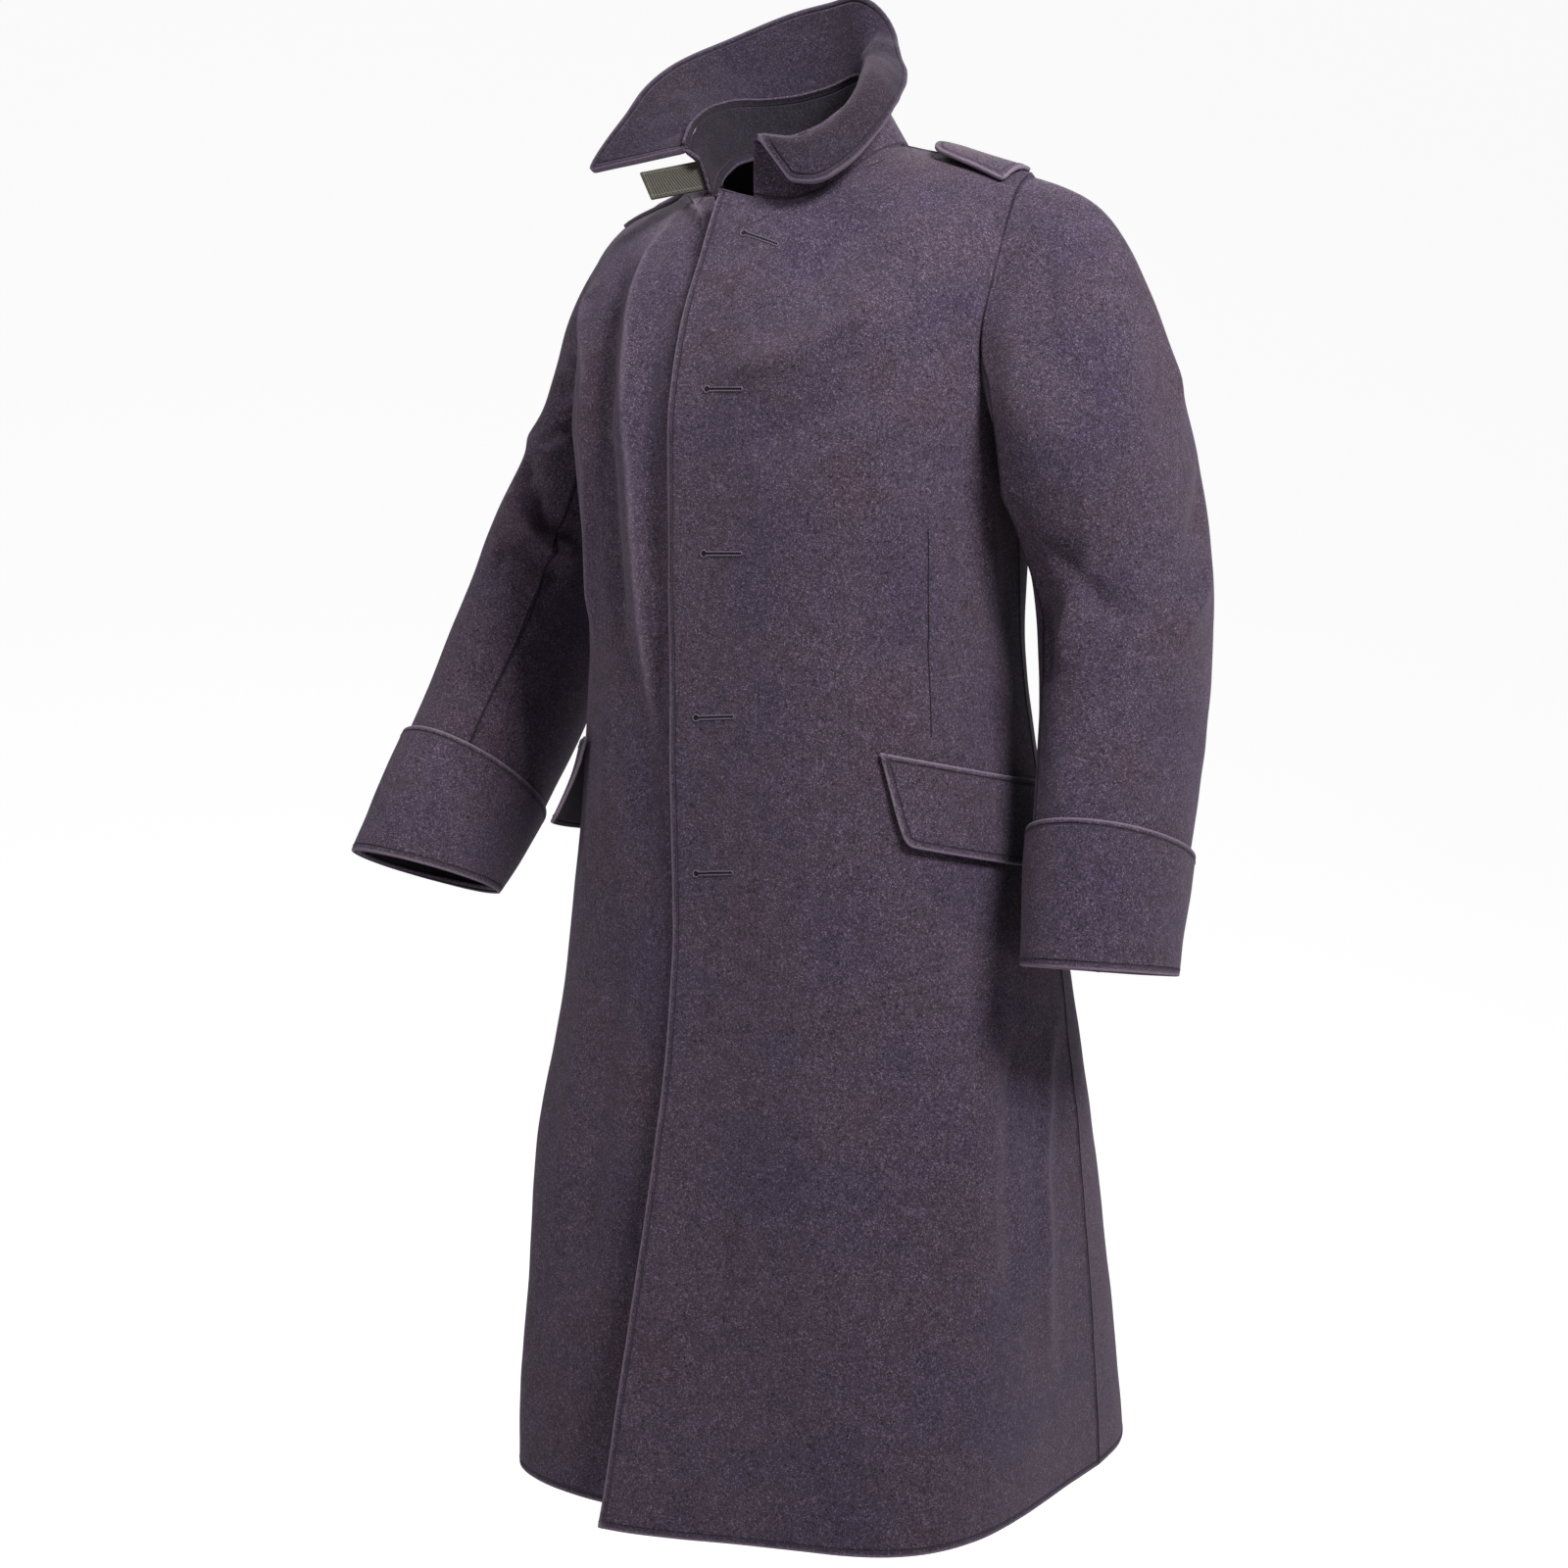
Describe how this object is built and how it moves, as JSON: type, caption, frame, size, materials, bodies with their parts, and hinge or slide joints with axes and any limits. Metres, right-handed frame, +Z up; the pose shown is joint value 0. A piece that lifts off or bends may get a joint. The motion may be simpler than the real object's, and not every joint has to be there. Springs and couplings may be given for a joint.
{
  "type": "military greatcoat",
  "caption": "Knee-length single-breasted military greatcoat in thick wool melton, with a turn-down collar, shoulder straps, turned-back cuffs and flapped pockets, held open as worn.",
  "frame": {"origin": "Between the shoulders on the coat's middle line, level with the tops of the sleeves, where the wearer's shoulders carry it. The hem is 1.14 m below.", "axes": "+X is the wearer's left, +Y the wearer's back and +Z up."},
  "size_m": [0.7756, 0.5228, 1.3129],
  "materials": {
    "wool_melton": "thick heather grey-purple wool melton, milled and matt",
    "cotton_drill": "olive-grey cotton drill, plain and matt"
  },
  "bodies": {
    "root": {"front_left": "wool_melton", "front_right": "wool_melton", "back_left": "wool_melton", "back_right": "wool_melton", "sleeve_top_left": "wool_melton", "sleeve_top_right": "wool_melton", "sleeve_under_left": "wool_melton", "sleeve_under_right": "wool_melton", "cuff_left": "wool_melton", "cuff_right": "wool_melton", "collar_stand": "wool_melton", "collar_fall": "wool_melton", "throat_tab": "cotton_drill", "shoulder_strap_left": "wool_melton", "shoulder_strap_right": "wool_melton", "pocket_flap_left": "wool_melton", "pocket_flap_right": "wool_melton"}
  },
  "joints": []
}
